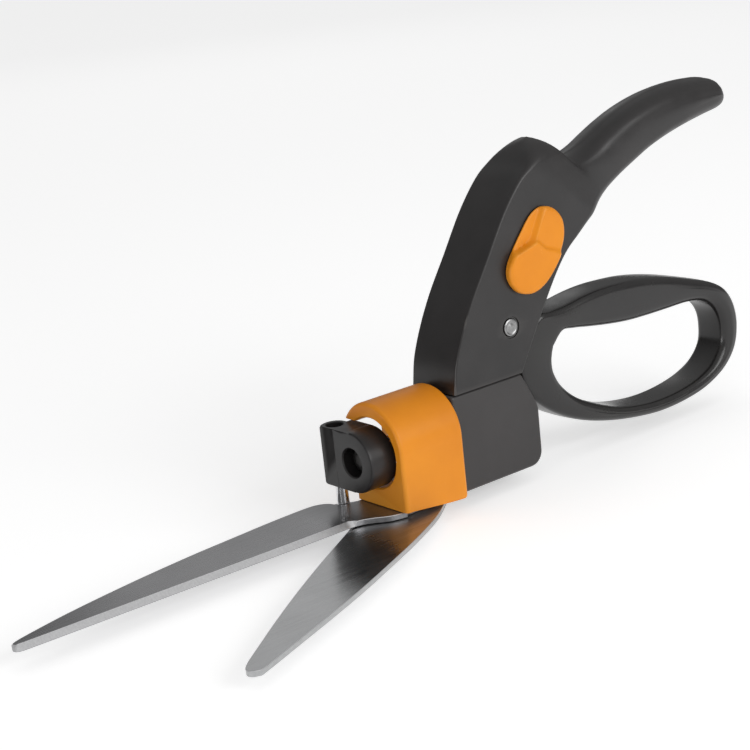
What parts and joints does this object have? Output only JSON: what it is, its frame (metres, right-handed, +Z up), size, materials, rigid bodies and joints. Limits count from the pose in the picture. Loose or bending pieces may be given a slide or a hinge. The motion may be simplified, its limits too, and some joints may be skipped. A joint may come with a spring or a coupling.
{
  "type": "grass shears",
  "caption": "One-hand grass shears: palm arm and squeezed finger loop drive a lower blade under a fixed blade, on a swivelling orange collar.",
  "frame": {"origin": "on the flat underside of the handle's housing, in the mid-plane, directly below the lever pivot", "axes": "+X forward to the blade tips, +Y to the side with the lock button, +Z up"},
  "size_m": [0.3402, 0.0941, 0.135],
  "materials": {
    "black_plastic": "glossy black moulded plastic",
    "loop_plastic": "glossy black moulded plastic with softly rounded edges",
    "grey_plastic": "satin dark grey moulded plastic",
    "orange_plastic": "semi-gloss orange moulded plastic",
    "blade_steel": "fine ground spring steel with bright bevels",
    "bright_steel": "bright drawn steel",
    "rivet_steel": "plain machined steel",
    "dark_steel": "blackened steel",
    "bronze": "sintered bearing bronze"
  },
  "bodies": {
    "handle": {"handle_arm": "black_plastic", "lower_housing": "grey_plastic", "housing_screw_1": "dark_steel", "housing_screw_2": "dark_steel", "lever_rivet": "rivet_steel", "swivel_spigot": "rivet_steel", "retaining_ring": "dark_steel", "detent_ball": "bright_steel", "detent_spring": "bright_steel"},
    "lever": {"finger_loop": "loop_plastic", "lever_bush": "bronze"},
    "rod": {"draw_rod": "dark_steel", "rod_clevis": "rivet_steel", "link_pin": "rivet_steel", "rod_nut": "dark_steel"},
    "head": {"swivel_collar": "orange_plastic", "swivel_bush": "bronze", "upper_blade": "blade_steel", "blade_screw_1": "rivet_steel", "blade_screw_2": "rivet_steel", "pivot_bolt": "rivet_steel", "spring_washer": "dark_steel", "pivot_nut": "rivet_steel", "return_spring": "bright_steel"},
    "blade": {"lower_blade": "blade_steel", "blade_bush": "bronze"},
    "block": {"coupling_block": "black_plastic", "drive_pin": "bright_steel", "pin_clip": "dark_steel"},
    "lock": {"lock_button": "orange_plastic", "lock_catch": "grey_plastic", "lock_screw": "dark_steel"}
  },
  "joints": [
    {"name": "lever_squeeze", "type": "hinge", "parent": "handle", "child": "lever", "pos_m": [0, 0, 0.0557], "axis": [0, 1, 0], "range_deg": [0, 22], "stiffness_Nm_per_rad": 1, "springref_deg": -20.05},
    {"name": "rod_slide", "type": "slide", "parent": "handle", "child": "rod", "axis": [-1, 0, 0], "range_m": [0, 0.0135]},
    {"name": "head_swivel", "type": "hinge", "parent": "handle", "child": "head", "pos_m": [0.035, 0, 0.0215], "axis": [1, 0, 0], "continuous": true},
    {"name": "blade_swing", "type": "hinge", "parent": "head", "child": "blade", "pos_m": [0.0465, 0, 0], "axis": [0, 0, 1], "range_deg": [-32, 0]},
    {"name": "block_slide", "type": "slide", "parent": "head", "child": "block", "axis": [-1, 0, 0], "range_m": [0, 0.0135], "deforming": ["return_spring"]},
    {"name": "lock_slide", "type": "slide", "parent": "handle", "child": "lock", "axis": [0.4899, 0, -0.8718], "range_m": [0, 0.005]}
  ],
  "couplings": [
    {"joint": "rod_slide", "follows": "lever_squeeze", "m_per_rad": 0.035133},
    {"joint": "blade_swing", "follows": "lever_squeeze", "ratio": -1.4541},
    {"joint": "block_slide", "follows": "lever_squeeze", "m_per_rad": 0.035133}
  ]
}
